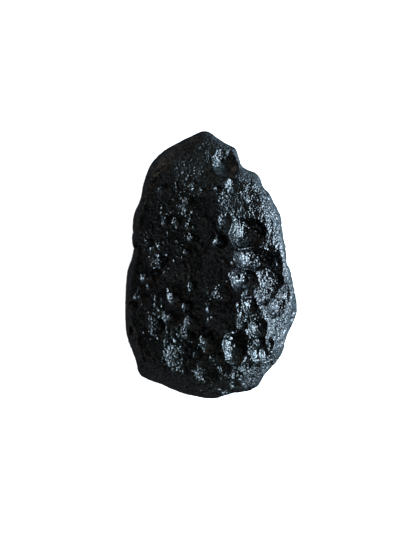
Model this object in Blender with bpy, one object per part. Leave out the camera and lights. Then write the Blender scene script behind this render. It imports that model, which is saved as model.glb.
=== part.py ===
"""A tektite: a pebble of natural black glass that froze in flight and was then etched in the
ground, which left cup-shaped pits and blunt ledges all over it.

The stone lies on its flattened back, +Z up, with its narrow tip towards +Y. The origin is on
the rest face, under the middle of the outline. Shaping is done in millimetres, and the
finished mesh is in metres.
"""

import math
import random

import bmesh
import bpy
import numpy as np
from mathutils import Matrix, Vector, noise
from mathutils.bvhtree import BVHTree

MM = 0.001

# Heights above the rest face
EQUATOR = 14.5  # where the stone is widest
RISE = 10.0  # from there to the crown, before the facets are worn on
DROP = 15.5  # from there to the lowest point, which the rest face cuts off

# The widest level runs higher on one side than on the other
RIGHT_LIFT = 2.4
RIGHT_BEARING = math.radians(-20)  # the side where it is highest

CORE = (0.0, -3.0)  # plan position of the stone's middle; the tip side is the longer one
BLUNT_OUT = 0.74  # under 1 keeps the sides steep and the top broad
BLUNT_UP = 0.80
RIM_BAND = math.radians(26)  # how far above and below the equator the outline's small steps reach
RIM_BLUR = math.radians(14)  # how much they are evened out beyond that
BLUR_SAMPLES = 11

GRID = (56, 88, 40)  # quads across, along and up the block that the stone is shaped from
TRIANGLES = 9200

SWELL_SIZE = 9.0
SWELL_HEIGHT = 0.55
SWELL_SIDEWAYS = 0.2  # the share of a swell that moves the surface sideways, small to keep the outline
SWELL_LAYERS = 2
WARP_SIZE = 2.6  # the pits' rims wander by this much over this distance
WARP = 0.35
WARP_SHIFT = 40.0  # between the three parts of the noise, so that they don't run together
RIM_ROUND = 0.14  # how far a pit's rim is worn round
UPRIGHT = 0.7  # how far the axis of a pit laid by hand leans from the normal to straight up
CUP_REACH = 1.3  # a cup is worked out over this many of its half lengths
CUP_UNDER = 2.5  # points this far below a cup's floor belong to the far side, and stay

FAR = 60.0  # above every point of the stone
AROUND = (40.0, 60.0, 30.0)  # half sizes of an egg that lies outside the stone

# Widest line seen from above, clockwise from the tip
OUTLINE = [
    (-1.8, 26.5), (0.0, 26.1), (1.8, 24.7), (3.6, 23.7), (4.9, 22.9), (5.5, 21.2), (6.1, 19.4),
    (7.4, 18.6), (8.8, 18.1), (9.9, 16.9), (10.4, 15.3), (11.6, 13.9), (12.5, 12.0), (13.6, 10.1),
    (14.1, 7.7), (14.3, 4.9), (15.0, 2.4), (15.2, 0.2), (16.2, -2.9), (16.8, -6.1), (17.2, -9.2),
    (16.7, -11.3), (15.3, -14.1), (14.4, -17.1), (13.5, -19.1), (10.3, -23.0), (8.6, -25.1),
    (4.0, -26.1), (1.0, -26.9), (-2.4, -26.9), (-5.6, -26.1), (-10.8, -24.1), (-13.2, -23.1),
    (-14.5, -22.1), (-15.2, -19.3), (-16.1, -16.9), (-17.0, -13.9), (-17.3, -9.1), (-17.2, -4.5),
    (-16.8, -1.3), (-15.8, 1.5), (-15.8, 5.5), (-15.6, 9.1), (-15.1, 10.7), (-14.1, 12.9),
    (-13.7, 15.1), (-12.5, 18.9), (-11.2, 20.9), (-9.0, 22.9), (-5.8, 24.6), (-3.6, 25.7),
]

# Blunt faces worn onto the stone: bearing in plan and tilt away from straight up, in degrees,
# distance from the core, and width of the soft edge
FACETS = [
    (172, 9, 7.8, 1.0),
    (8, 19, 9.95, 0.8),
    (-10, 48, 14.3, 0.8),
    (18, 37, 13.35, 0.6),
    (-39, 47, 17.1, 0.5),
    (258, 42, 18.5, 0.7),
    (85, 20, 12.8, 1.6),
    (126, 40, 19.0, 0.5),
    (180, 78, 17.7, 1.2),
    (200, 150, 16.5, 1.6),
    (80, 158, 17.4, 1.6),
    (-10, 148, 16.2, 1.6),
    (265, 140, 21.6, 1.4),
]

# Broad shallow hollows of the upper face, and then its pits: x, y, half width, half length,
# turn in degrees, depth
HOLLOWS = [
    (8.2, 12.6, 3.2, 5.4, 28, 0.2),
    (12.6, -2.5, 3.2, 5.0, 10, 0.5),
    (8.4, -10.0, 3.4, 2.8, 0, 0.4),
    (9.0, -17.2, 5.2, 4.6, -30, 1.0),
    (-5.0, -16.5, 6.0, 5.0, 30, 0.8),
    (-9.5, -9.5, 5.5, 4.0, 60, 0.6),
    (-9.0, 1.5, 5.0, 4.5, 0, 0.5),
    (-4.6, 9.5, 3.4, 6.0, 15, 0.3),
    (-0.4, 11.0, 3.6, 5.5, 0, 0.3),
    (0.7, -10.0, 3.9, 3.8, 0, 0.42),
]
PITS = [
    # down the right side
    (3.0, 20.3, 2.8, 2.9, 0, 1.2),
    (5.0, 15.6, 1.6, 1.9, 20, 0.4),
    (8.4, 13.0, 2.2, 1.4, -30, 0.4),
    (2.8, 8.4, 1.5, 2.0, 0, 0.45),
    (7.6, 6.0, 3.6, 3.3, 0, 1.7),
    (9.2, 0.7, 3.7, 2.3, -8, 1.3),
    (7.1, -3.2, 3.2, 2.6, 0, 1.4),
    (12.6, -4.8, 1.9, 3.2, -38, 0.9),
    (14.0, -8.4, 2.4, 2.2, 0, 0.8),
    (15.2, -6.6, 1.7, 2.0, 0, 0.5),
    (7.6, -5.9, 1.5, 1.2, 0, 0.6),
    (7.8, -8.3, 1.5, 1.8, 0, 0.8),
    (9.6, -12.8, 2.2, 2.2, 0, 1.15),
    (9.6, -15.4, 1.0, 1.0, 0, 0.8),
    (9.5, -18.0, 1.6, 1.6, 0, 0.85),
    (10.8, -18.0, 1.5, 1.6, 0, 0.85),
    (12.0, -16.1, 0.8, 0.8, 0, 0.7),
    (4.6, -16.6, 2.9, 4.0, 5, 1.65),
    (6.6, -12.3, 0.6, 0.7, 0, 0.6),
    (7.2, -20.5, 1.3, 1.5, -30, 0.7),
    (2.2, -20.7, 1.6, 1.4, 0, 0.8),
    (5.0, -22.1, 1.2, 1.0, 0, 0.6),
    (4.6, -24.1, 1.6, 0.8, 10, 0.7),
    (2.0, -25.0, 1.5, 0.9, 10, 0.6),
    # over the middle and the broad end
    (1.8, 4.1, 1.4, 1.4, 0, 1.2),
    (1.2, 14.5, 0.9, 0.7, 0, 0.6),
    (2.2, -5.9, 2.0, 1.9, 0, 0.8),
    (0.0, -8.9, 1.3, 1.6, 0, 0.28),
    (-1.0, -22.1, 2.4, 2.4, 0, 1.25),
    (-0.6, -15.3, 2.0, 2.1, 0, 1.0),
    (1.0, -18.5, 1.8, 1.4, 0, 0.7),
    (-2.8, -17.9, 1.2, 1.1, 20, 0.9),
    (-4.2, -19.3, 1.0, 1.0, 0, 0.8),
    (-6.1, -18.3, 2.8, 2.8, 0, 0.9),
    (-3.8, -11.5, 1.9, 1.8, 0, 1.0),
    (-4.3, -14.2, 1.5, 1.2, 0, 1.0),
    # on the left face
    (-4.8, -8.5, 1.2, 1.3, 0, 1.0),
    (-3.6, -4.6, 0.9, 1.3, 0, 0.9),
    (-7.2, -6.7, 1.6, 1.4, 0, 0.8),
    (-8.0, -10.7, 1.8, 1.6, 0, 0.8),
    (-10.4, -12.5, 1.4, 1.5, 0, 1.2),
    (-12.4, -2.9, 1.8, 1.5, 0, 0.9),
    (-10.6, -1.7, 1.0, 0.9, 0, 0.8),
    (-9.6, 0.2, 1.2, 1.0, 0, 0.9),
    (-14.0, -6.7, 1.6, 1.4, 0, 0.7),
    (-15.8, -8.1, 1.2, 1.0, 0, 0.9),
    (-9.6, 14.7, 1.1, 0.9, 0, 0.35),
    (-4.4, 11.7, 1.4, 1.3, 0, 0.8),
    (-8.8, 8.3, 1.0, 1.0, 0, 0.8),
    (-6.8, 8.4, 1.0, 0.9, 0, 0.8),
    (-12.0, 3.9, 0.9, 0.8, 0, 0.7),
    (-3.6, 4.9, 1.2, 1.0, 0, 0.9),
    (-4.6, 2.1, 1.0, 0.8, 0, 0.7),
]

# Round the sides and under the stone both are scattered at random: how many, least and
# greatest radius, least and greatest depth as a share of the radius, and the gap kept
# between two as a share of their radii
SIDE_HOLLOWS = (16, 4.5, 7.5, 0.10, 0.17, 0.6)
SIDE_PITS = (150, 1.0, 2.9, 0.35, 0.80, 0.85)
SEED = 5
SMALLER = 2.2  # the higher it is, the more of them are small
LONGEST = 1.5  # greatest length of one, as a share of its width
FACE_NORMAL = 0.45  # the upward part of the normal, above which the surface is upper face
RIM_CLEAR = 0.8  # a scattered pit stays this share of its radius above or below the equator
REST_HALF_WIDTH = 9.5  # the rest face, which takes only the smallest pits
REST_HALF_LENGTH = 15.0
REST_LEVEL = 3.0  # below this height the surface belongs to the rest face
REST_MIDDLE = 3.0  # radius of its middle, which stays whole
SMALLEST = 1.5

GLASS_COLOUR = (0.012, 0.012, 0.012, 1)
GLASS_ROUGHNESS = 0.3
GLASS_INDEX = 1.5
CUTTER_SIZE = 0.1  # metres, longer and wider than the stone


def closed_curve(points, steps=10):
    """Smooth closed curve through the points."""
    here = np.array(points)
    before = np.roll(here, 1, 0)
    after = np.roll(here, -1, 0)
    beyond = np.roll(here, -2, 0)
    t = (np.arange(steps) / steps)[:, None, None]
    slope = (after - before) * t
    bend = (2 * before - 5 * here + 4 * after - beyond) * t**2
    twist = (3 * here - before - 3 * after + beyond) * t**3
    curve = here + 0.5 * (slope + bend + twist)
    return curve.transpose(1, 0, 2).reshape(-1, 2)


def outline_reach():
    """Two functions of the bearing: distance from the core to the outline, and that evened out."""
    curve = closed_curve(OUTLINE) - np.array(CORE)
    bearing = np.arctan2(curve[:, 1], curve[:, 0])
    reach = np.hypot(curve[:, 0], curve[:, 1])
    order = np.argsort(bearing)

    def sharp(angle):
        return np.interp(angle, bearing[order], reach[order], period=2 * math.pi)

    def even(angle):
        steps = np.linspace(-RIM_BLUR, RIM_BLUR, BLUR_SAMPLES)
        return np.mean([sharp(angle + step) for step in steps], axis=0)

    return sharp, even


def quad_block(counts):
    """A cube from -1 to 1, each side divided into the given numbers of quads."""
    block = bmesh.new()
    bmesh.ops.create_cube(block, size=2.0)
    for axis, count in enumerate(counts):
        along = [e for e in block.edges if abs((e.verts[0].co - e.verts[1].co)[axis]) > 1e-6]
        bmesh.ops.subdivide_edges(block, edges=along, cuts=count - 1)
    return block


def rounded(block_points):
    """Points of the block moved onto the egg-shaped body that the outline gives."""
    way = np.tan(block_points * (math.pi / 4))
    way /= np.linalg.norm(way, axis=1)[:, None]
    bearing = np.arctan2(way[:, 1], way[:, 0])
    level = np.hypot(way[:, 0], way[:, 1])
    climb = way[:, 2]
    sharp, even = outline_reach()
    near_rim = np.exp(-((np.arctan2(climb, level) / RIM_BAND) ** 2))
    reach = even(bearing) + (sharp(bearing) - even(bearing)) * near_rim
    out = reach * level**BLUNT_OUT
    up = np.sign(climb) * np.abs(climb) ** BLUNT_UP * np.where(climb > 0, RISE, DROP)
    up += RIGHT_LIFT * level**2 * np.maximum(np.cos(bearing - RIGHT_BEARING), 0)
    x = CORE[0] + out * np.cos(bearing)
    y = CORE[1] + out * np.sin(bearing)
    return np.stack([x, y, EQUATOR + up], axis=1)


def soft_min(a, b, width):
    """The smaller of a and b, eased over where they cross."""
    share = np.clip(0.5 + 0.5 * (b - a) / width, 0, 1)
    return b + (a - b) * share - width * share * (1 - share)


def faceted(points):
    """Wears each blunt face onto the body."""
    core = np.array([CORE[0], CORE[1], EQUATOR])
    for bearing, tilt, reach, edge in FACETS:
        b = math.radians(bearing)
        t = math.radians(tilt)
        normal = np.array([math.cos(b) * math.sin(t), math.sin(b) * math.sin(t), math.cos(t)])
        height = (points - core) @ normal
        points = points + np.outer(soft_min(height, reach, edge) - height, normal)
    return points


def move_to(mesh, points):
    for vert, point in zip(mesh.verts, points):
        vert.co = point
    mesh.normal_update()


def swollen(mesh, points):
    """Raises and sinks the surface gently along its normals."""
    lift = np.array([noise.fractal(Vector(p) / SWELL_SIZE, 1.0, 2.0, SWELL_LAYERS) for p in points])
    push = np.array([v.normal for v in mesh.verts]) * (SWELL_SIDEWAYS, SWELL_SIDEWAYS, 1)
    return points + push * (lift * SWELL_HEIGHT)[:, None]


def warp_of(points):
    """A small wandering offset for each point, so that no pit is a true circle."""
    shifts = [Vector((WARP_SHIFT * axis, 0, 0)) for axis in range(3)]
    return WARP * np.array([[noise.noise(Vector(p) / WARP_SIZE + s) for s in shifts] for p in points])


def face_pits(surface, pits):
    """(centre, normal, long axis, half width, half length, depth) of each pit in the list."""
    up = Vector((0, 0, 1))
    for x, y, half_width, half_length, turn, depth in pits:
        centre, normal, _, _ = surface.ray_cast(Vector((x, y, FAR)), -up)
        normal = normal.lerp(up, UPRIGHT).normalized()
        angle = math.radians(turn)
        along = Vector((-math.sin(angle), math.cos(angle), 0))
        along = (along - normal * along.dot(normal)).normalized()
        yield centre, normal, along, half_width, half_length, depth


def pit_fits(centre, normal, radius):
    """Whether a scattered pit here stays off the upper face, the outline and the rest face."""
    across = centre.x / (REST_HALF_WIDTH + radius)
    along = (centre.y - CORE[1]) / (REST_HALF_LENGTH + radius)
    if centre.z < REST_LEVEL and across**2 + along**2 < 1:
        return radius < SMALLEST and centre.xy.length > REST_MIDDLE
    return normal.z < FACE_NORMAL and abs(centre.z - EQUATOR) > RIM_CLEAR * radius


def side_pits(surface, rng, kind):
    """The same for pits scattered over the sides and the back."""
    count, small, large, shallow, deep, gap = kind
    core = Vector((CORE[0], CORE[1], EQUATOR))
    made = []
    while len(made) < count:
        way = Vector((rng.gauss(0, 1), rng.gauss(0, 1), rng.gauss(0, 1))).normalized()
        radius = small + (large - small) * rng.random() ** SMALLER
        stretch = rng.uniform(1.0, LONGEST)
        depth = radius * rng.uniform(shallow, deep)
        turn = rng.uniform(0, math.pi)
        start = core + Vector([part * size for part, size in zip(way, AROUND)])
        centre, normal, _, _ = surface.ray_cast(start, (core - start).normalized())
        if not pit_fits(centre, normal, radius):
            continue
        if any((centre - other).length < gap * (radius + size) for other, size in made):
            continue
        made.append((centre, radius))
        across = normal.orthogonal().normalized()
        along = across * math.cos(turn) + normal.cross(across) * math.sin(turn)
        yield centre, normal, along, radius, radius * stretch, depth


def carve(points, wander, pit):
    """Sinks one cup into the surface: the cap of a sphere, stretched along its long axis."""
    centre, normal, along, half_width, half_length, depth = pit
    normal = np.array(normal)
    along = np.array(along)
    reach = CUP_REACH * max(half_width, half_length) + depth
    near = np.where(np.linalg.norm(points - np.array(centre), axis=1) < reach)[0]
    offset = points[near] - np.array(centre)
    height = offset @ normal
    strayed = offset + wander[near]
    across = (strayed @ np.cross(normal, along)) / half_width
    lengthwise = (strayed @ along) / half_length
    mean_radius = math.sqrt(half_width * half_length)
    ball = (mean_radius**2 + depth**2) / (2 * depth)
    square = (across**2 + lengthwise**2) * mean_radius**2
    cup = ball - depth - np.sqrt(np.maximum(ball**2 - square, 0))
    cup = np.where(square < ball**2, cup, reach)
    sunk = np.minimum(soft_min(height, cup, RIM_ROUND) - height, 0)
    points[near] += np.outer(np.where(height > -depth - CUP_UNDER, sunk, 0), normal)


def centred(points):
    """Moves the stone so that the origin is under the middle of its outline."""
    middle = (points.min(axis=0) + points.max(axis=0)) / 2
    return points - middle * (1, 1, 0)


def thin(obj):
    """Leaves about TRIANGLES triangles, closest together where the surface curves most."""
    decimate = obj.modifiers.new("thin", "DECIMATE")
    decimate.ratio = TRIANGLES / sum(len(p.vertices) - 2 for p in obj.data.polygons)


def rest(obj):
    """Cuts the underside off flat at the rest plane, with a block that is not drawn."""
    block = bmesh.new()
    below = Matrix.Translation((0, 0, -CUTTER_SIZE / 2))
    bmesh.ops.create_cube(block, size=CUTTER_SIZE, matrix=below)
    mesh = bpy.data.meshes.new("rest_cutter")
    block.to_mesh(mesh)
    block.free()
    cutter = bpy.data.objects.new("rest_cutter", mesh)
    cutter.hide_render = True
    cutter.display_type = "WIRE"
    bpy.context.scene.collection.objects.link(cutter)
    cut = obj.modifiers.new("rest", "BOOLEAN")
    cut.operation = "DIFFERENCE"
    cut.solver = "EXACT"
    cut.object = cutter


def tektite_glass():
    """Natural silicate glass, near black, its skin dulled to satin by etching."""
    material = bpy.data.materials.new("tektite glass")
    material.use_nodes = True
    shader = material.node_tree.nodes["Principled BSDF"]
    shader.inputs["Base Color"].default_value = GLASS_COLOUR
    shader.inputs["Roughness"].default_value = GLASS_ROUGHNESS
    shader.inputs["IOR"].default_value = GLASS_INDEX
    return material


def tektite():
    stone = quad_block(GRID)
    points = faceted(rounded(np.array([v.co for v in stone.verts])))
    move_to(stone, points)
    points = swollen(stone, points)
    move_to(stone, points)
    rng = random.Random(SEED)
    wander = warp_of(points)
    for by_hand, scattered in ((HOLLOWS, SIDE_HOLLOWS), (PITS, SIDE_PITS)):
        surface = BVHTree.FromBMesh(stone)
        for pit in [*face_pits(surface, by_hand), *side_pits(surface, rng, scattered)]:
            carve(points, wander, pit)
        move_to(stone, points)
    move_to(stone, centred(points) * MM)
    mesh = bpy.data.meshes.new("tektite")
    stone.to_mesh(mesh)
    stone.free()
    mesh.shade_smooth()
    mesh.materials.append(tektite_glass())
    obj = bpy.data.objects.new("tektite", mesh)
    bpy.context.scene.collection.objects.link(obj)
    thin(obj)
    rest(obj)
    return obj


for leftover in list(bpy.data.objects):
    bpy.data.objects.remove(leftover)

tektite()
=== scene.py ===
# %% [markdown]
# # A tektite
# A tektite is a pebble of natural black glass. It flew as molten rock, froze before it landed,
# and was etched by damp soil for most of a million years. The etching is what one sees: cups,
# hollows and a skin like orange peel. The whole stone is one closed mesh, shaped here from a
# divided block by moving its points. The work is done in millimetres and turned into metres
# at the end.

import math
import random

import bmesh
import bpy
import numpy as np
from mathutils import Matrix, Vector, noise
from mathutils.bvhtree import BVHTree


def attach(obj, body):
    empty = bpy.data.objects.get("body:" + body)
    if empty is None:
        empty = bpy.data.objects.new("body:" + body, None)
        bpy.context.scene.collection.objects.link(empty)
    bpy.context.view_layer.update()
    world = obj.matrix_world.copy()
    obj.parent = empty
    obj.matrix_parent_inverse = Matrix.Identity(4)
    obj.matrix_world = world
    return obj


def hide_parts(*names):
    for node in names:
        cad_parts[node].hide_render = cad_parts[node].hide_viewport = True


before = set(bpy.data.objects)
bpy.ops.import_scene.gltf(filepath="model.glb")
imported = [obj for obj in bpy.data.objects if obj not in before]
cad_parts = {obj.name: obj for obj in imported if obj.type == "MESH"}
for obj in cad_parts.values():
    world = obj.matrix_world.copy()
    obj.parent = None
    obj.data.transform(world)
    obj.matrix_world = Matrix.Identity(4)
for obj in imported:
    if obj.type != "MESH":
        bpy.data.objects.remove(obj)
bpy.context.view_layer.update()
MM = 0.001

# %% [markdown]
# ## The outline
# Seen from above the stone is an egg, blunt at one end and drawn to a tip at the other, with
# many small steps where hollows reach the edge. A few dozen points in millimetres hold it, and
# a smooth closed curve runs through them. From that curve comes the one thing the body needs:
# how far the edge lies from the core in any direction.

# %% Outline
CORE = (0.0, -3.0)
OUTLINE = [
    (-1.8, 26.5), (0.0, 26.1), (1.8, 24.7), (3.6, 23.7), (4.9, 22.9), (5.5, 21.2), (6.1, 19.4),
    (7.4, 18.6), (8.8, 18.1), (9.9, 16.9), (10.4, 15.3), (11.6, 13.9), (12.5, 12.0), (13.6, 10.1),
    (14.1, 7.7), (14.3, 4.9), (15.0, 2.4), (15.2, 0.2), (16.2, -2.9), (16.8, -6.1), (17.2, -9.2),
    (16.7, -11.3), (15.3, -14.1), (14.4, -17.1), (13.5, -19.1), (10.3, -23.0), (8.6, -25.1),
    (4.0, -26.1), (1.0, -26.9), (-2.4, -26.9), (-5.6, -26.1), (-10.8, -24.1), (-13.2, -23.1),
    (-14.5, -22.1), (-15.2, -19.3), (-16.1, -16.9), (-17.0, -13.9), (-17.3, -9.1), (-17.2, -4.5),
    (-16.8, -1.3), (-15.8, 1.5), (-15.8, 5.5), (-15.6, 9.1), (-15.1, 10.7), (-14.1, 12.9),
    (-13.7, 15.1), (-12.5, 18.9), (-11.2, 20.9), (-9.0, 22.9), (-5.8, 24.6), (-3.6, 25.7),
]
RIM_BLUR = math.radians(14)  # its small steps are evened out over this angle either way
BLUR_SAMPLES = 11


def closed_curve(points, steps=10):
    """Smooth closed curve through the points."""
    here = np.array(points)
    before = np.roll(here, 1, 0)
    after = np.roll(here, -1, 0)
    beyond = np.roll(here, -2, 0)
    t = (np.arange(steps) / steps)[:, None, None]
    slope = (after - before) * t
    bend = (2 * before - 5 * here + 4 * after - beyond) * t**2
    twist = (3 * here - before - 3 * after + beyond) * t**3
    curve = here + 0.5 * (slope + bend + twist)
    return curve.transpose(1, 0, 2).reshape(-1, 2)


edge = closed_curve(OUTLINE) - np.array(CORE)
edge_bearing = np.arctan2(edge[:, 1], edge[:, 0])
edge_reach = np.hypot(edge[:, 0], edge[:, 1])
edge_order = np.argsort(edge_bearing)


def sharp_reach(bearing):
    """Distance from the core to the outline."""
    return np.interp(bearing, edge_bearing[edge_order], edge_reach[edge_order], period=2 * math.pi)


def even_reach(bearing):
    """The same with the small steps evened out."""
    steps = np.linspace(-RIM_BLUR, RIM_BLUR, BLUR_SAMPLES)
    return np.mean([sharp_reach(bearing + step) for step in steps], axis=0)


print("outline:", len(OUTLINE), "points")
print("reach, mm:", edge_reach.min().round(1), "to", edge_reach.max().round(1))

# %% [markdown]
# ## The block
# A sphere crowds its quads at two poles. A cube divided into even quads has no poles, so it
# makes a better start for a pebble. The upper side is divided once more, because that is the
# side with the finest cups, and it is the side that is looked at.

# %% Divided block
GRID = (88, 140, 62)  # quads across, along and up
TOP = 0.999  # an edge of the upper side lies above this
FLAT = 1e-6  # an edge that spans less than this along an axis doesn't run that way


def quad_block(counts):
    """A cube from -1 to 1, each side divided into the given numbers of quads."""
    block = bmesh.new()
    bmesh.ops.create_cube(block, size=2.0)
    for axis, count in enumerate(counts):
        along = [e for e in block.edges if abs((e.verts[0].co - e.verts[1].co)[axis]) > FLAT]
        bmesh.ops.subdivide_edges(block, edges=along, cuts=count - 1, use_grid_fill=False)
    return block


stone = quad_block(GRID)
top_edges = [e for e in stone.edges if all(v.co.z > TOP for v in e.verts)]
bmesh.ops.subdivide_edges(stone, edges=top_edges, cuts=1, use_grid_fill=True)
print("block:", sum(len(f.verts) - 2 for f in stone.faces), "triangles")

# %% [markdown]
# ## The body
# Each point of the block gives a direction from the core. The point is moved out along it: to
# the outline at the widest level, and less and less above and below, which rounds the body.
# The two powers under 1 keep the sides steep and the top broad, as on a worn pebble, and the
# outline's small steps fade away above and below it. A real tektite is not a smooth egg,
# though: it has blunt faces where the melt flowed or the skin flaked. Each of those is a plane
# that the body is pressed against, with a soft minimum, so that no edge is knife sharp.

# %% Body and blunt faces
EQUATOR = 14.5  # height of the widest level
RISE = 10.0  # from there to the crown, before the facets are worn on
DROP = 15.5  # from there to the lowest point, which the rest face cuts off
RIGHT_LIFT = 2.4  # how much higher the widest level runs on the right side
RIGHT_BEARING = math.radians(-20)  # where it is highest
BLUNT_OUT = 0.74  # the power that keeps the sides steep
BLUNT_UP = 0.80  # and the one that keeps the top broad
RIM_BAND = math.radians(26)  # the outline's small steps reach this far above and below
FACETS = [
    # bearing and tilt in degrees, distance from the core, softness of the edge
    (172, 9, 7.8, 1.0),
    (8, 19, 9.95, 0.8),
    (-10, 48, 14.3, 0.8),
    (18, 37, 13.35, 0.6),
    (-39, 47, 17.1, 0.5),
    (258, 42, 18.5, 0.7),
    (85, 20, 12.8, 1.6),
    (126, 40, 19.0, 0.5),
    (180, 78, 17.7, 1.2),
    (200, 150, 16.5, 1.6),
    (80, 158, 17.4, 1.6),
    (-10, 148, 16.2, 1.6),
    (265, 140, 21.6, 1.4),
]


def rounded(block_points):
    """Points of the block moved onto the egg-shaped body."""
    way = np.tan(block_points * (math.pi / 4))
    way /= np.linalg.norm(way, axis=1)[:, None]
    bearing = np.arctan2(way[:, 1], way[:, 0])
    level = np.hypot(way[:, 0], way[:, 1])
    climb = way[:, 2]
    near_rim = np.exp(-((np.arctan2(climb, level) / RIM_BAND) ** 2))
    even = even_reach(bearing)
    out = (even + (sharp_reach(bearing) - even) * near_rim) * level**BLUNT_OUT
    up = np.sign(climb) * np.abs(climb) ** BLUNT_UP * np.where(climb > 0, RISE, DROP)
    up += RIGHT_LIFT * level**2 * np.maximum(np.cos(bearing - RIGHT_BEARING), 0)
    x = CORE[0] + out * np.cos(bearing)
    y = CORE[1] + out * np.sin(bearing)
    return np.stack([x, y, EQUATOR + up], axis=1)


def soft_min(a, b, width):
    """The smaller of a and b, eased over where they cross."""
    share = np.clip(0.5 + 0.5 * (b - a) / width, 0, 1)
    return b + (a - b) * share - width * share * (1 - share)


def faceted(points):
    """Wears each blunt face onto the body."""
    core = np.array([CORE[0], CORE[1], EQUATOR])
    for bearing, tilt, reach, softness in FACETS:
        b = math.radians(bearing)
        t = math.radians(tilt)
        normal = np.array([math.cos(b) * math.sin(t), math.sin(b) * math.sin(t), math.cos(t)])
        height = (points - core) @ normal
        points = points + np.outer(soft_min(height, reach, softness) - height, normal)
    return points


def move_to(mesh, points):
    """Puts the mesh's points in these places."""
    for vert, point in zip(mesh.verts, points):
        vert.co = point
    mesh.normal_update()


points = faceted(rounded(np.array([v.co for v in stone.verts])))
move_to(stone, points)
print("body, mm:", np.round(points.max(axis=0) - points.min(axis=0), 1))

# %% [markdown]
# ## Swells
# The faces are gently uneven. A slow noise, read at each point, pushes the surface out or in
# along its normal by about half a millimetre.

# %% Swells
FADE = 1.0  # each finer layer of noise is half as strong
FINER = 2.0  # and half as large
SWELL_SIZE = 9.0
SWELL_HEIGHT = 0.55
SWELL_SIDEWAYS = 0.2  # the share of it that moves the surface sideways
SWELL_LAYERS = 2


def lifted(mesh, points, size, height, layers=1, shift=0.0, sideways=1.0):
    """Pushes the points along their normals by noise of this size and height."""
    offset = Vector((shift, 0, 0))
    places = [Vector(p) / size + offset for p in points]
    lift = np.array([noise.fractal(place, FADE, FINER, layers) for place in places])
    push = np.array([v.normal for v in mesh.verts]) * (sideways, sideways, 1)
    return points + push * (lift * height)[:, None]


points = lifted(stone, points, SWELL_SIZE, SWELL_HEIGHT, SWELL_LAYERS, sideways=SWELL_SIDEWAYS)
move_to(stone, points)
print("swells up to", SWELL_HEIGHT, "mm")
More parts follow.
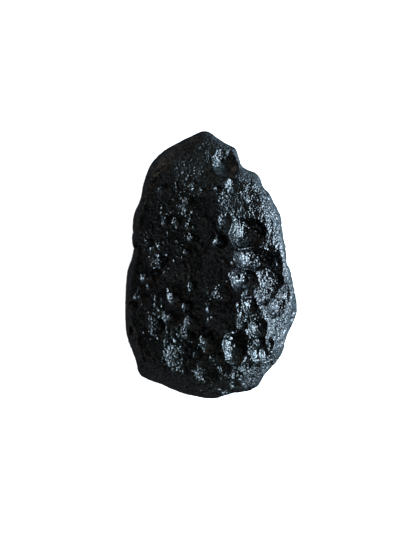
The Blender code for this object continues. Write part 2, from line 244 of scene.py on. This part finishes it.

# %% [markdown]
# ## Hollows and cups
# Soil water dissolves the glass fastest where it was strained, and leaves cups like thumb
# prints, some as deep as they are wide. The ones on the upper side are listed one by one, each a
# line with its place, half sizes, turn and depth, in millimetres and degrees. The hollows are
# broad and shallow, and cups stand inside them.

# %% Hollows and cups, listed one by one
HOLLOWS = [
    # x, y, half width, half length, turn in degrees, depth
    (8.2, 12.6, 3.2, 5.4, 28, 0.2),
    (12.6, -2.5, 3.2, 5.0, 10, 0.5),
    (8.4, -10.0, 3.4, 2.8, 0, 0.4),
    (9.0, -17.2, 5.2, 4.6, -30, 1.0),
    (-5.0, -16.5, 6.0, 5.0, 30, 0.8),
    (-9.5, -9.5, 5.5, 4.0, 60, 0.6),
    (-9.0, 1.5, 5.0, 4.5, 0, 0.5),
    (-4.6, 9.5, 3.4, 6.0, 15, 0.3),
    (-0.4, 11.0, 3.6, 5.5, 0, 0.3),
    (0.7, -10.0, 3.9, 3.8, 0, 0.42),
]
PITS = [
    # down the right side
    (3.0, 20.3, 2.8, 2.9, 0, 1.2),
    (5.0, 15.6, 1.6, 1.9, 20, 0.4),
    (8.4, 13.0, 2.2, 1.4, -30, 0.4),
    (2.8, 8.4, 1.5, 2.0, 0, 0.45),
    (7.6, 6.0, 3.6, 3.3, 0, 1.7),
    (9.2, 0.7, 3.7, 2.3, -8, 1.3),
    (7.1, -3.2, 3.2, 2.6, 0, 1.4),
    (12.6, -4.8, 1.9, 3.2, -38, 0.9),
    (14.0, -8.4, 2.4, 2.2, 0, 0.8),
    (15.2, -6.6, 1.7, 2.0, 0, 0.5),
    (7.6, -5.9, 1.5, 1.2, 0, 0.6),
    (7.8, -8.3, 1.5, 1.8, 0, 0.8),
    (9.6, -12.8, 2.2, 2.2, 0, 1.15),
    (9.6, -15.4, 1.0, 1.0, 0, 0.8),
    (9.5, -18.0, 1.6, 1.6, 0, 0.85),
    (10.8, -18.0, 1.5, 1.6, 0, 0.85),
    (12.0, -16.1, 0.8, 0.8, 0, 0.7),
    (4.6, -16.6, 2.9, 4.0, 5, 1.65),
    (6.6, -12.3, 0.6, 0.7, 0, 0.6),
    (7.2, -20.5, 1.3, 1.5, -30, 0.7),
    (2.2, -20.7, 1.6, 1.4, 0, 0.8),
    (5.0, -22.1, 1.2, 1.0, 0, 0.6),
    (4.6, -24.1, 1.6, 0.8, 10, 0.7),
    (2.0, -25.0, 1.5, 0.9, 10, 0.6),
    # over the middle and the broad end
    (1.8, 4.1, 1.4, 1.4, 0, 1.2),
    (1.2, 14.5, 0.9, 0.7, 0, 0.6),
    (2.2, -5.9, 2.0, 1.9, 0, 0.8),
    (0.0, -8.9, 1.3, 1.6, 0, 0.28),
    (-1.0, -22.1, 2.4, 2.4, 0, 1.25),
    (-0.6, -15.3, 2.0, 2.1, 0, 1.0),
    (1.0, -18.5, 1.8, 1.4, 0, 0.7),
    (-2.8, -17.9, 1.2, 1.1, 20, 0.9),
    (-4.2, -19.3, 1.0, 1.0, 0, 0.8),
    (-6.1, -18.3, 2.8, 2.8, 0, 0.9),
    (-3.8, -11.5, 1.9, 1.8, 0, 1.0),
    (-4.3, -14.2, 1.5, 1.2, 0, 1.0),
    # on the left face
    (-4.8, -8.5, 1.2, 1.3, 0, 1.0),
    (-3.6, -4.6, 0.9, 1.3, 0, 0.9),
    (-7.2, -6.7, 1.6, 1.4, 0, 0.8),
    (-8.0, -10.7, 1.8, 1.6, 0, 0.8),
    (-10.4, -12.5, 1.4, 1.5, 0, 1.2),
    (-12.4, -2.9, 1.8, 1.5, 0, 0.9),
    (-10.6, -1.7, 1.0, 0.9, 0, 0.8),
    (-9.6, 0.2, 1.2, 1.0, 0, 0.9),
    (-14.0, -6.7, 1.6, 1.4, 0, 0.7),
    (-15.8, -8.1, 1.2, 1.0, 0, 0.9),
    (-9.6, 14.7, 1.1, 0.9, 0, 0.35),
    (-4.4, 11.7, 1.4, 1.3, 0, 0.8),
    (-8.8, 8.3, 1.0, 1.0, 0, 0.8),
    (-6.8, 8.4, 1.0, 0.9, 0, 0.8),
    (-12.0, 3.9, 0.9, 0.8, 0, 0.7),
    (-3.6, 4.9, 1.2, 1.0, 0, 0.9),
    (-4.6, 2.1, 1.0, 0.8, 0, 0.7),
]
print("by hand:", len(HOLLOWS), "hollows and", len(PITS), "cups")

# %% [markdown]
# ## How a cup is cut
# Each cup is the cap of a ball sunk into the surface: a point inside the ball is moved down
# along the cup's own axis to the ball's wall. The ball is stretched for a long cup, and a slow
# noise shifts the points before they are measured, so that no rim is a true circle.

# %% Cutting a cup
WARP = 0.35  # the rims wander by this much
WARP_SIZE = 2.6  # over this distance
WARP_SHIFT = 40.0  # between the three parts of the noise, so that they don't run together
RIM_ROUND = 0.14  # how far a rim is worn round
UPRIGHT = 0.7  # how far a cup's axis leans from the normal to straight up
CUP_REACH = 1.3  # a cup is worked out over this many of its half lengths
CUP_UNDER = 2.5  # points this far below its floor belong to the far side and stay
FAR = 60.0  # above every point of the stone


def warp_of(points):
    """A small wandering offset for each point."""
    shifts = [Vector((WARP_SHIFT * axis, 0, 0)) for axis in range(3)]
    read = [[noise.noise(Vector(p) / WARP_SIZE + shift) for shift in shifts] for p in points]
    return WARP * np.array(read)


def face_pits(surface, pits):
    """(centre, normal, long axis, half width, half length, depth) of each pit in the list."""
    up = Vector((0, 0, 1))
    for x, y, half_width, half_length, turn, depth in pits:
        centre, normal, _, _ = surface.ray_cast(Vector((x, y, FAR)), -up)
        if centre is None:  # beside the stone
            continue
        normal = normal.lerp(up, UPRIGHT).normalized()
        angle = math.radians(turn)
        along = Vector((-math.sin(angle), math.cos(angle), 0))
        along = (along - normal * along.dot(normal)).normalized()
        yield centre, normal, along, half_width, half_length, depth


def carve(points, wander, pit, rim_round=RIM_ROUND):
    """Sinks one cup into the surface: the cap of a sphere, stretched along its long axis."""
    centre, normal, along, half_width, half_length, depth = pit
    normal = np.array(normal)
    along = np.array(along)
    reach = CUP_REACH * max(half_width, half_length) + depth
    near = np.where(np.abs(points - np.array(centre)).max(axis=1) < reach)[0]
    offset = points[near] - np.array(centre)
    height = offset @ normal
    strayed = offset + wander[near]
    across = (strayed @ np.cross(normal, along)) / half_width
    lengthwise = (strayed @ along) / half_length
    mean_radius = math.sqrt(half_width * half_length)
    ball = (mean_radius**2 + depth**2) / (2 * depth)
    square = (across**2 + lengthwise**2) * mean_radius**2
    cup = ball - depth - np.sqrt(np.maximum(ball**2 - square, 0))
    cup = np.where(square < ball**2, cup, reach)
    sunk = np.minimum(soft_min(height, cup, rim_round) - height, 0)
    points[near] += np.outer(np.where(height > -depth - CUP_UNDER, sunk, 0), normal)


wander = warp_of(points)
print("rims wander by up to", np.abs(wander).max().round(2), "mm")

# %% [markdown]
# ## Hollows and cups at random
# The sides and the back are etched too, but there no one cup matters, only how thickly they
# stand. So a seeded draw scatters them: it aims at the stone from all round, keeps clear of
# the ones that it has made, and leaves alone the outline and the patch that the stone rests
# on. Most are small and a few are large, as in nature. The big shallow hollows go in first,
# then the cups, so that cups stand inside hollows.

# %% Hollows and cups at random
# How many, least and greatest radius, least and greatest depth as a share of the radius, and
# the gap kept between two as a share of their radii
SIDE_HOLLOWS = (16, 4.5, 7.5, 0.10, 0.17, 0.6)
SIDE_PITS = (150, 1.0, 2.9, 0.35, 0.80, 0.85)
SEED = 5
AROUND = (40.0, 60.0, 30.0)  # half sizes of an egg that lies outside the stone
SMALLER = 2.2  # the higher it is, the more of the cups are small
LONGEST = 1.5  # greatest length of a cup, as a share of its width
FACE_NORMAL = 0.45  # the upward part of the normal, above which the surface is upper face
RIM_CLEAR = 0.8  # a cup stays this share of its radius above or below the widest level
REST_HALF_WIDTH = 9.5  # of the rest face, which takes only the smallest cups
REST_HALF_LENGTH = 15.0
REST_LEVEL = 3.0  # below this height the surface belongs to the rest face
REST_MIDDLE = 3.0  # radius of its middle, which stays whole
SMALLEST = 1.5


def pit_fits(centre, normal, radius):
    """Whether a scattered pit here stays off the upper face, the outline and the rest face."""
    across = centre.x / (REST_HALF_WIDTH + radius)
    along = (centre.y - CORE[1]) / (REST_HALF_LENGTH + radius)
    if centre.z < REST_LEVEL and across**2 + along**2 < 1:
        return radius < SMALLEST and centre.xy.length > REST_MIDDLE
    return normal.z < FACE_NORMAL and abs(centre.z - EQUATOR) > RIM_CLEAR * radius


def scattered_pits(surface, rng, kind, fits):
    """Pits at random over the stone, wherever fits allows."""
    count, small, large, shallow, deep, gap = kind
    core = Vector((CORE[0], CORE[1], EQUATOR))
    made = []
    while len(made) < count:
        way = Vector((rng.gauss(0, 1), rng.gauss(0, 1), rng.gauss(0, 1))).normalized()
        radius = small + (large - small) * rng.random() ** SMALLER
        stretch = rng.uniform(1.0, LONGEST)
        depth = radius * rng.uniform(shallow, deep)
        turn = rng.uniform(0, math.pi)
        start = core + Vector([part * size for part, size in zip(way, AROUND)])
        centre, normal, _, _ = surface.ray_cast(start, (core - start).normalized())
        if not fits(centre, normal, radius):
            continue
        if any((centre - other).length < gap * (radius + size) for other, size in made):
            continue
        made.append((centre, radius))
        across = normal.orthogonal().normalized()
        along = across * math.cos(turn) + normal.cross(across) * math.sin(turn)
        yield centre, normal, along, radius, radius * stretch, depth


rng = random.Random(SEED)
for by_hand, scattered in ((HOLLOWS, SIDE_HOLLOWS), (PITS, SIDE_PITS)):
    surface = BVHTree.FromBMesh(stone)
    for pit in [*face_pits(surface, by_hand), *scattered_pits(surface, rng, scattered, pit_fits)]:
        carve(points, wander, pit)
    move_to(stone, points)
print("scattered:", SIDE_HOLLOWS[0], "hollows and", SIDE_PITS[0], "cups")

# %% [markdown]
# ## The skin
# Between the cups and inside them the skin is rough like orange peel, with pits about a
# millimetre across or less. They are real geometry too, so that they catch the light. On the
# upper face they stand in clusters, each a line with its middle and spread, and all over the
# stone more are scattered between. A layer of grain goes in before them and another after.

# %% Fine pits and grain
FINE_PITS = (1700, 0.20, 0.60, 0.25, 0.60, 0.7)  # as for the scattered cups
FINE_WANDER = 0.35  # the share of the cups' wandering that they take
FINE_ROUND = 0.06  # how far their rims are worn round
COARSE_GRAIN = (1.15, 0.08, 11.0)  # size, height and the place in the noise it is read from
FINE_GRAIN = (0.5, 0.07, 23.0)
CLUSTERS = [
    # x, y, spread, number of pits, depth for their width
    (-5.4, 9.5, 1.0, 26, 0.50),
    (-5.0, 13.5, 1.4, 26, 0.55),
    (-4.4, 18.5, 1.4, 26, 0.55),
    (-5.0, 4.6, 1.2, 18, 0.50),
    (-8.2, 8.7, 1.1, 26, 0.50),
    (-12.6, 4.2, 1.1, 30, 0.50),
    (-10.4, -0.8, 1.2, 26, 0.50),
    (-14.0, -7.4, 1.2, 20, 0.60),
    (-10.6, -12.8, 1.3, 33, 0.55),
    (-4.8, -17.0, 1.4, 30, 0.55),
    (-5.4, -12.4, 1.1, 20, 0.55),
    (-7.2, -20.8, 1.8, 40, 0.50),
    (0.6, -5.6, 1.2, 22, 0.55),
    (-0.6, 22.5, 1.4, 22, 0.55),
    (3.4, 22.5, 1.1, 16, 0.55),
    (-12.5, 13.0, 1.4, 14, 0.50),
    (-12.8, -20.8, 1.4, 34, 0.50),
    (-5.0, -24.4, 2.4, 44, 0.50),
    (3.0, -23.4, 1.8, 18, 0.70),
    (7.0, -23.0, 1.6, 16, 0.70),
    (8.0, 14.0, 1.5, 30, 0.2),
    (10.0, 11.5, 1.8, 26, 0.25),
    (6.6, 16.2, 1.1, 14, 0.25),
    (9.0, 17.0, 1.3, 12, 0.3),
    (9.4, 7.6, 1.2, 9, 0.4),
    (12.4, 4.6, 1.2, 10, 0.35),
    (9.6, 1.4, 1.3, 16, 0.5),
    (13.0, -6.0, 1.5, 16, 0.4),
    (14.0, -9.4, 1.2, 12, 0.4),
    (8.0, -10.4, 1.3, 18, 0.3),
    (5.2, -13.6, 0.9, 9, 0.4),
    (10.0, -20.6, 1.1, 8, 0.60),
    (13.4, -13.6, 1.3, 12, 0.4),
    (12.4, -17.6, 1.3, 12, 0.4),
    (11.0, -21.4, 1.0, 9, 0.4),
    (15.2, -10.6, 1.0, 8, 0.4),
]
CLUSTER_PIT = (0.14, 0.55)  # smallest and largest half width
CLUSTER_ROUND = 0.08
CLUSTER_LONGEST = 1.4  # greatest length, as a share of the width
CLUSTER_DEPTHS = (0.7, 1.3)  # range of the depths about the cluster's own
HALF_TURN = 180  # degrees
SKIN_LEVEL = 0.3  # the rest face below this height takes none of the scattered ones


def anywhere(centre, normal, radius):
    """The scattered ones stand all over the stone but for the flat it rests on."""
    return centre.z > SKIN_LEVEL


def crowded(rng):
    """The pits of every cluster, crowded towards its middle."""
    small, large = CLUSTER_PIT
    for x, y, spread, count, share in CLUSTERS:
        for _ in range(count):
            radius = small + (large - small) * rng.random() ** SMALLER
            place = (x + rng.gauss(0, spread), y + rng.gauss(0, spread))
            depth = radius * share * rng.uniform(*CLUSTER_DEPTHS)
            length = radius * rng.uniform(1, CLUSTER_LONGEST)
            yield *place, radius, length, rng.uniform(0, HALF_TURN), depth


size, height, shift = COARSE_GRAIN
points = lifted(stone, points, size, height, shift=shift)
move_to(stone, points)
surface = BVHTree.FromBMesh(stone)
for pit in face_pits(surface, crowded(rng)):
    carve(points, wander, pit, CLUSTER_ROUND)
for pit in scattered_pits(surface, rng, FINE_PITS, anywhere):
    carve(points, FINE_WANDER * wander, pit, FINE_ROUND)
move_to(stone, points)
size, height, shift = FINE_GRAIN
points = lifted(stone, points, size, height, shift=shift)
print("skin:", len(CLUSTERS), "clusters of pits, and", FINE_PITS[0], "others")

# %% [markdown]
# ## Pits too small to model
# The quads of the upper face are about 0.2 mm wide, so they can't hold a pit smaller than
# that. Those are left to the glass's bump. What the mesh can still say is where they crowd:
# every point is given one number from 0 to 1. On the upper face it is high in the clusters,
# and everywhere a slow noise raises it in patches.

# %% Crowding
FULL_CROWD = 11  # pits times depth share at which a cluster covers its middle
CROWD_REACH = 1.2  # how far the cover spreads, as a share of the cluster's spread
CROWD_PATCH = 3.4  # size of the patches
UPPER_PATCH = 0.5  # how strong they are above the widest level
LOWER_PATCH = 1.6  # and below it
PLAIN = 0.2  # cover where there is neither a cluster nor a patch


def crowding_at(points):
    """How thickly each point is covered with the smallest pits."""
    near = np.zeros(len(points))
    for x, y, spread, count, share in CLUSTERS:
        square = (points[:, 0] - x) ** 2 + (points[:, 1] - y) ** 2
        near += count * share / FULL_CROWD * np.exp(-square / (2 * (CROWD_REACH * spread) ** 2))
    patches = np.array([noise.noise(Vector(p) / CROWD_PATCH) for p in points]).clip(min=0)
    above = points[:, 2] > EQUATOR
    cover = np.where(above, near + UPPER_PATCH * patches, LOWER_PATCH * patches)
    return np.minimum(PLAIN + cover, 1)


crowding = crowding_at(points)
print("crowding: mean", crowding.mean().round(2), "and most", crowding.max().round(2))

# %% [markdown]
# ## The rest face
# The stone lies on a flattened patch of its back. Points under the rest level are brought up
# to it, and the stone is centred over the origin and turned into metres. The crowding goes
# along as an attribute of the mesh, one number a point, which the glass's material reads.

# %% Rest face and finished mesh
points[:, 2] = np.maximum(points[:, 2], 0)
middle = (points.min(axis=0) + points.max(axis=0)) / 2
points -= middle * (1, 1, 0)
move_to(stone, points * MM)
bmesh.ops.recalc_face_normals(stone, faces=stone.faces[:])
skin = bpy.data.meshes.new("tektite")
stone.to_mesh(skin)
stone.free()
skin.shade_smooth()
skin.attributes.new("crowding", "FLOAT", "POINT").data.foreach_set("value", crowding)
tektite = bpy.data.objects.new("tektite", skin)
bpy.context.scene.collection.objects.link(tektite)
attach(tektite, "root")
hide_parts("tektite")
print("stone, mm:", np.round(points.max(axis=0) - points.min(axis=0), 1))

# %% [markdown]
# ## Nodes
# A material, and the room later on, is a small network of nodes: each works out one thing
# from what is linked into it. These helpers add a node, set its values and link it in one
# call. Colours are written as on the web and turned into the linear values that nodes expect.

# %% Helpers for nodes
def linear(text):
    """sRGB hex to the linear RGBA that shaders use."""
    parts = [int(text[i : i + 2], 16) / 255 for i in (1, 3, 5)]
    return (*[c / 12.92 if c <= 0.04045 else ((c + 0.055) / 1.055) ** 2.4 for c in parts], 1.0)


def add_node(tree, kind, settings=None, links=None):
    """Adds a node, sets its values and inputs, and links its inputs from other nodes' outputs."""
    node = tree.nodes.new(kind)
    for name, value in (settings or {}).items():
        if isinstance(name, int) or name in node.inputs:
            node.inputs[name].default_value = value
        else:
            setattr(node, name, value)
    for name, output in (links or {}).items():
        tree.links.new(output, node.inputs[name])
    return node


def spanned(tree, value, before, after, ease="LINEAR"):
    """The value, with the range before turned into the range after and held at its ends."""
    settings = {"interpolation_type": ease, "From Min": before[0], "From Max": before[1]}
    settings |= {"To Min": after[0], "To Max": after[1]}
    return add_node(tree, "ShaderNodeMapRange", settings, {"Value": value}).outputs["Result"]


def maths(tree, operation, first, second):
    """One sum among the nodes: between two outputs, or between an output and a number."""
    if isinstance(second, (int, float)):
        settings = {"operation": operation, 1: second}
        links = {0: first}
    else:
        settings = {"operation": operation}
        links = {0: first, 1: second}
    return add_node(tree, "ShaderNodeMath", settings, links).outputs["Value"]


print("middle grey in linear light:", round(linear("#808080")[0], 3))

# %% [markdown]
# ## Black glass
# Tektite glass is a silicate with an index of about 1.5. It holds so much iron that a piece
# this thick lets no light through, so the body colour is almost nothing, and all that is seen
# is what the skin reflects. Etching has dulled that skin unevenly: a slow noise drives its
# roughness, and a fine one makes flecks that reflect more or less. Two layers of bump hold
# what is too small to model. One is a Voronoi texture, whose round cells make tiny pits,
# turned up where the mesh says that they crowd. The other is a fine grain all over.

# %% Tektite glass
GLASS_HEX = "#010101"
GLASS_IOR = 1.50
ROUGH = (0.07, 0.17)
NOISE_RANGE = (0.35, 0.65)  # the part of a noise that nearly all of it lies in
PATCH_MM = 3.0  # size of the dull and the shiny patches
PATCH_DETAIL = 3.0
FLECK_MM = 0.34
FLECK_DETAIL = 3.0
SHINE = (0.10, 0.95)  # how strongly the skin reflects, where 0.5 is clean glass
PEEL_MM = 0.36  # width of the smallest pits
PEEL_DEPTH_MM = 0.30  # their greatest depth
GRAIN_MM = 0.28
GRAIN_DEPTH_MM = 0.065
GRAIN_DETAIL = 2.0


def bumped(tree, depth_mm, links):
    """A normal roughened this deep by the linked height."""
    settings = {"Strength": 1.0, "Distance": depth_mm * MM}
    return add_node(tree, "ShaderNodeBump", settings, links).outputs["Normal"]


def tektite_glass():
    """Near black glass, its skin dulled in patches and finely pitted."""
    material = bpy.data.materials.new("tektite glass, etched")
    material.use_nodes = True
    tree = material.node_tree
    shader = tree.nodes["Principled BSDF"]
    shader.inputs["Base Color"].default_value = linear(GLASS_HEX)
    shader.inputs["IOR"].default_value = GLASS_IOR
    place = {"Vector": add_node(tree, "ShaderNodeTexCoord").outputs["Object"]}
    slow = {"Scale": 1 / (PATCH_MM * MM), "Detail": PATCH_DETAIL}
    patches = add_node(tree, "ShaderNodeTexNoise", slow, place)
    rough = spanned(tree, patches.outputs["Fac"], NOISE_RANGE, ROUGH)
    small = {"Scale": 1 / (FLECK_MM * MM), "Detail": FLECK_DETAIL}
    flecks = add_node(tree, "ShaderNodeTexNoise", small, place)
    shine = spanned(tree, flecks.outputs["Fac"], NOISE_RANGE, SHINE)
    cells = {"feature": "SMOOTH_F1", "Scale": 1 / (PEEL_MM * MM)}
    peel = add_node(tree, "ShaderNodeTexVoronoi", cells, place)
    crowded_here = add_node(tree, "ShaderNodeAttribute", {"attribute_name": "crowding"})
    pitted = maths(tree, "MULTIPLY", peel.outputs["Distance"], crowded_here.outputs["Fac"])
    fine = {"Scale": 1 / (GRAIN_MM * MM), "Detail": GRAIN_DETAIL}
    grain = add_node(tree, "ShaderNodeTexNoise", fine, place)
    peeled = bumped(tree, PEEL_DEPTH_MM, {"Height": pitted})
    grained = bumped(tree, GRAIN_DEPTH_MM, {"Height": grain.outputs["Fac"], "Normal": peeled})
    tree.links.new(rough, shader.inputs["Roughness"])
    tree.links.new(shine, shader.inputs["Specular IOR Level"])
    tree.links.new(grained, shader.inputs["Normal"])
    return material


skin.materials.append(tektite_glass())
print("glass: index", GLASS_IOR, "roughness", ROUGH)

# %% [markdown]
# ## Paper
# The stone lies on a large sheet of white paper. The paper is left out of reflections, where
# it would turn black glass grey all round its foot. The room in the next step stands in for
# it there.

# %% White paper
PAPER_HEX = "#f4f4f4"
PAPER_ROUGH = 0.9
PAPER_HALF = 3.0  # metres


def white_paper():
    """White without any sheen."""
    material = bpy.data.materials.new("white paper")
    material.use_nodes = True
    shader = material.node_tree.nodes["Principled BSDF"]
    shader.inputs["Base Color"].default_value = linear(PAPER_HEX)
    shader.inputs["Roughness"].default_value = PAPER_ROUGH
    return material


sheet = bmesh.new()
bmesh.ops.create_grid(sheet, x_segments=1, y_segments=1, size=PAPER_HALF)
sheet_mesh = bpy.data.meshes.new("floor")
sheet.to_mesh(sheet_mesh)
sheet.free()
sheet_mesh.materials.append(white_paper())
floor = bpy.data.objects.new("floor", sheet_mesh)
bpy.context.scene.collection.objects.link(floor)
floor.visible_glossy = False
print("paper, m:", tuple(floor.dimensions))

# %% [markdown]
# ## The room
# Black glass shows whatever it reflects. To the camera and the paper the room is plain white,
# but to reflected rays it answers with another room, as a photographer would build from black
# cloth: dark, with a faint bluish patch overhead, a wide glow from the window on one side that
# fades towards the others, and a faint band under the horizon, where the paper would be seen.
# Each part is worked out from the direction of the ray.

# %% Room
ROOM = 2.0
ROOM_HEX = "#e4f1ff"
OVERHEAD = (172, 76)  # bearing and angle above the horizon, in degrees
OVERHEAD_EDGE = (0.90, 0.985)  # cosines of the angles from its middle where it starts and is full
OVERHEAD_DIM = 0.22
PAPER_DIM = 0.25
PAPER_EDGE = (0.06, -0.06)  # heights of the ray, from 1 straight up to -1 straight down
PAPER_SHADE = (-0.30, -0.60)  # the stone's own shadow darkens the paper below this
PAPER_SHADED = 0.25
WINDOW = (12, -4)  # bearing and angle of the middle of its glow
WINDOW_HEX = "#b8ddf5"
WINDOW_GLOW = 3.1
WINDOW_FALL = 2.7  # the higher it is, the faster the glow fades to the sides


def direction(bearing, climb):
    """Unit vector towards a bearing in plan and an angle above the horizon, in degrees."""
    b = math.radians(bearing)
    c = math.radians(climb)
    return Vector((math.cos(b) * math.cos(c), math.sin(b) * math.cos(c), math.sin(c)))


def faces(tree, way, towards):
    """Cosine of the angle between the ray's way and a fixed direction."""
    settings = {"operation": "DOT_PRODUCT", 1: towards}
    return add_node(tree, "ShaderNodeVectorMath", settings, {0: way}).outputs["Value"]


def tinted(tree, colour, strength):
    """The colour, as bright as the strength says."""
    settings = {"operation": "SCALE", 0: linear(colour)[:3]}
    node = add_node(tree, "ShaderNodeVectorMath", settings, {"Scale": strength})
    return node.outputs["Vector"]


def dark_room(tree):
    """The room's colour in reflections."""
    way = add_node(tree, "ShaderNodeTexCoord").outputs["Generated"]
    height = faces(tree, way, (0, 0, 1))
    near_top = faces(tree, way, direction(*OVERHEAD))
    overhead = spanned(tree, near_top, OVERHEAD_EDGE, (0, OVERHEAD_DIM), "SMOOTHSTEP")
    beneath = spanned(tree, height, PAPER_EDGE, (0, PAPER_DIM))
    shaded = spanned(tree, height, PAPER_SHADE, (1, PAPER_SHADED))
    faint = maths(tree, "ADD", overhead, maths(tree, "MULTIPLY", beneath, shaded))
    to_window = maths(tree, "MAXIMUM", faces(tree, way, direction(*WINDOW)), 0)
    glow = maths(tree, "MULTIPLY", maths(tree, "POWER", to_window, WINDOW_FALL), WINDOW_GLOW)
    both = {0: tinted(tree, ROOM_HEX, faint), 1: tinted(tree, WINDOW_HEX, glow)}
    return add_node(tree, "ShaderNodeVectorMath", {"operation": "ADD"}, both).outputs["Vector"]


def two_rooms():
    """A world that is white to look at and dark to reflect."""
    world = bpy.data.worlds.new("studio")
    world.use_nodes = True
    tree = world.node_tree
    bright = tree.nodes["Background"]
    bright.inputs["Color"].default_value = (ROOM, ROOM, ROOM, 1)
    dark = add_node(tree, "ShaderNodeBackground", {}, {"Color": dark_room(tree)})
    ray = add_node(tree, "ShaderNodeLightPath")
    rooms = {
        "Fac": ray.outputs["Is Glossy Ray"],
        1: bright.outputs["Background"],
        2: dark.outputs["Background"],
    }
    mixed = add_node(tree, "ShaderNodeMixShader", {}, rooms)
    tree.links.new(mixed.outputs["Shader"], tree.nodes["World Output"].inputs["Surface"])
    return world


bpy.context.scene.world = two_rooms()
bpy.context.scene.view_settings.view_transform = "Standard"
print("room:", len(bpy.context.scene.world.node_tree.nodes), "nodes")

# %% [markdown]
# ## Lights
# The window itself is a broad soft light on the right, low enough that the walls of the cups
# facing it catch it, with a brighter pane in its middle for the crisp glints. The cards round
# the other sides are dim. They only draw the edges of the far flanks out of the dark.

# %% Lights
LIGHTS = [
    # name, bearing, height angle (degrees), distance (m), width, height (m), radiance, colour
    ("window", 1, 23, 0.55, 0.86, 0.38, 4.2, "#b6daf5"),
    ("window, bright pane", -4, 26, 0.54, 0.46, 0.17, 25.0, "#d8eaf8"),
    ("front card", 258, 8, 0.60, 0.60, 0.16, 0.5, "#f0f4f8"),
    ("warm card", 128, 12, 0.55, 0.34, 0.16, 0.9, "#ffeedc"),
    ("left card", 205, 6, 0.60, 0.90, 0.10, 0.45, "#f6f2e8"),
    ("back card", 85, 52, 0.50, 0.50, 0.34, 0.32, "#eef4f2"),
]


def add_light(name, bearing, climb, distance, width, height, radiance, colour):
    """A soft rectangle facing the stone; power is worked out from how bright its face is."""
    lamp = bpy.data.lights.new(name, "AREA")
    lamp.shape = "RECTANGLE"
    lamp.size = width
    lamp.size_y = height
    lamp.energy = radiance * width * height * math.pi
    lamp.color = linear(colour)[:3]
    light = bpy.data.objects.new(name, lamp)
    bpy.context.scene.collection.objects.link(light)
    way = direction(bearing, climb)
    light.location = way * distance + Vector((0, 0, EQUATOR * MM))
    light.rotation_euler = way.to_track_quat("Z", "Y").to_euler()
    light.visible_camera = False


for setting in LIGHTS:
    add_light(*setting)
print("lights:", ", ".join(setting[0] for setting in LIGHTS))

# %% [markdown]
# ## Camera
# The camera looks straight down at the stone. Its height comes from the lens: the long side
# of the picture is to cover 111 mm just above the stone's widest level.

# %% Camera
LENS_MM = 100.0
SENSOR_MM = 36.0
FRAME_MM = 111.0
AIM = (-0.6, -2.6, 15.5)  # the point it looks at
CLIP_START = 0.01  # metres

lens = bpy.data.cameras.new("camera")
lens.lens = LENS_MM
lens.sensor_width = SENSOR_MM
lens.clip_start = CLIP_START
camera = bpy.data.objects.new("camera", lens)
bpy.context.scene.collection.objects.link(camera)
camera.location = (Vector(AIM) + Vector((0, 0, FRAME_MM * LENS_MM / SENSOR_MM))) * MM
camera.rotation_euler = (0, 0, 0)
bpy.context.scene.camera = camera
print("camera height, mm:", round(camera.location.z / MM))

# %% Size and finish
print("triangles:", sum(len(p.vertices) - 2 for p in skin.polygons))
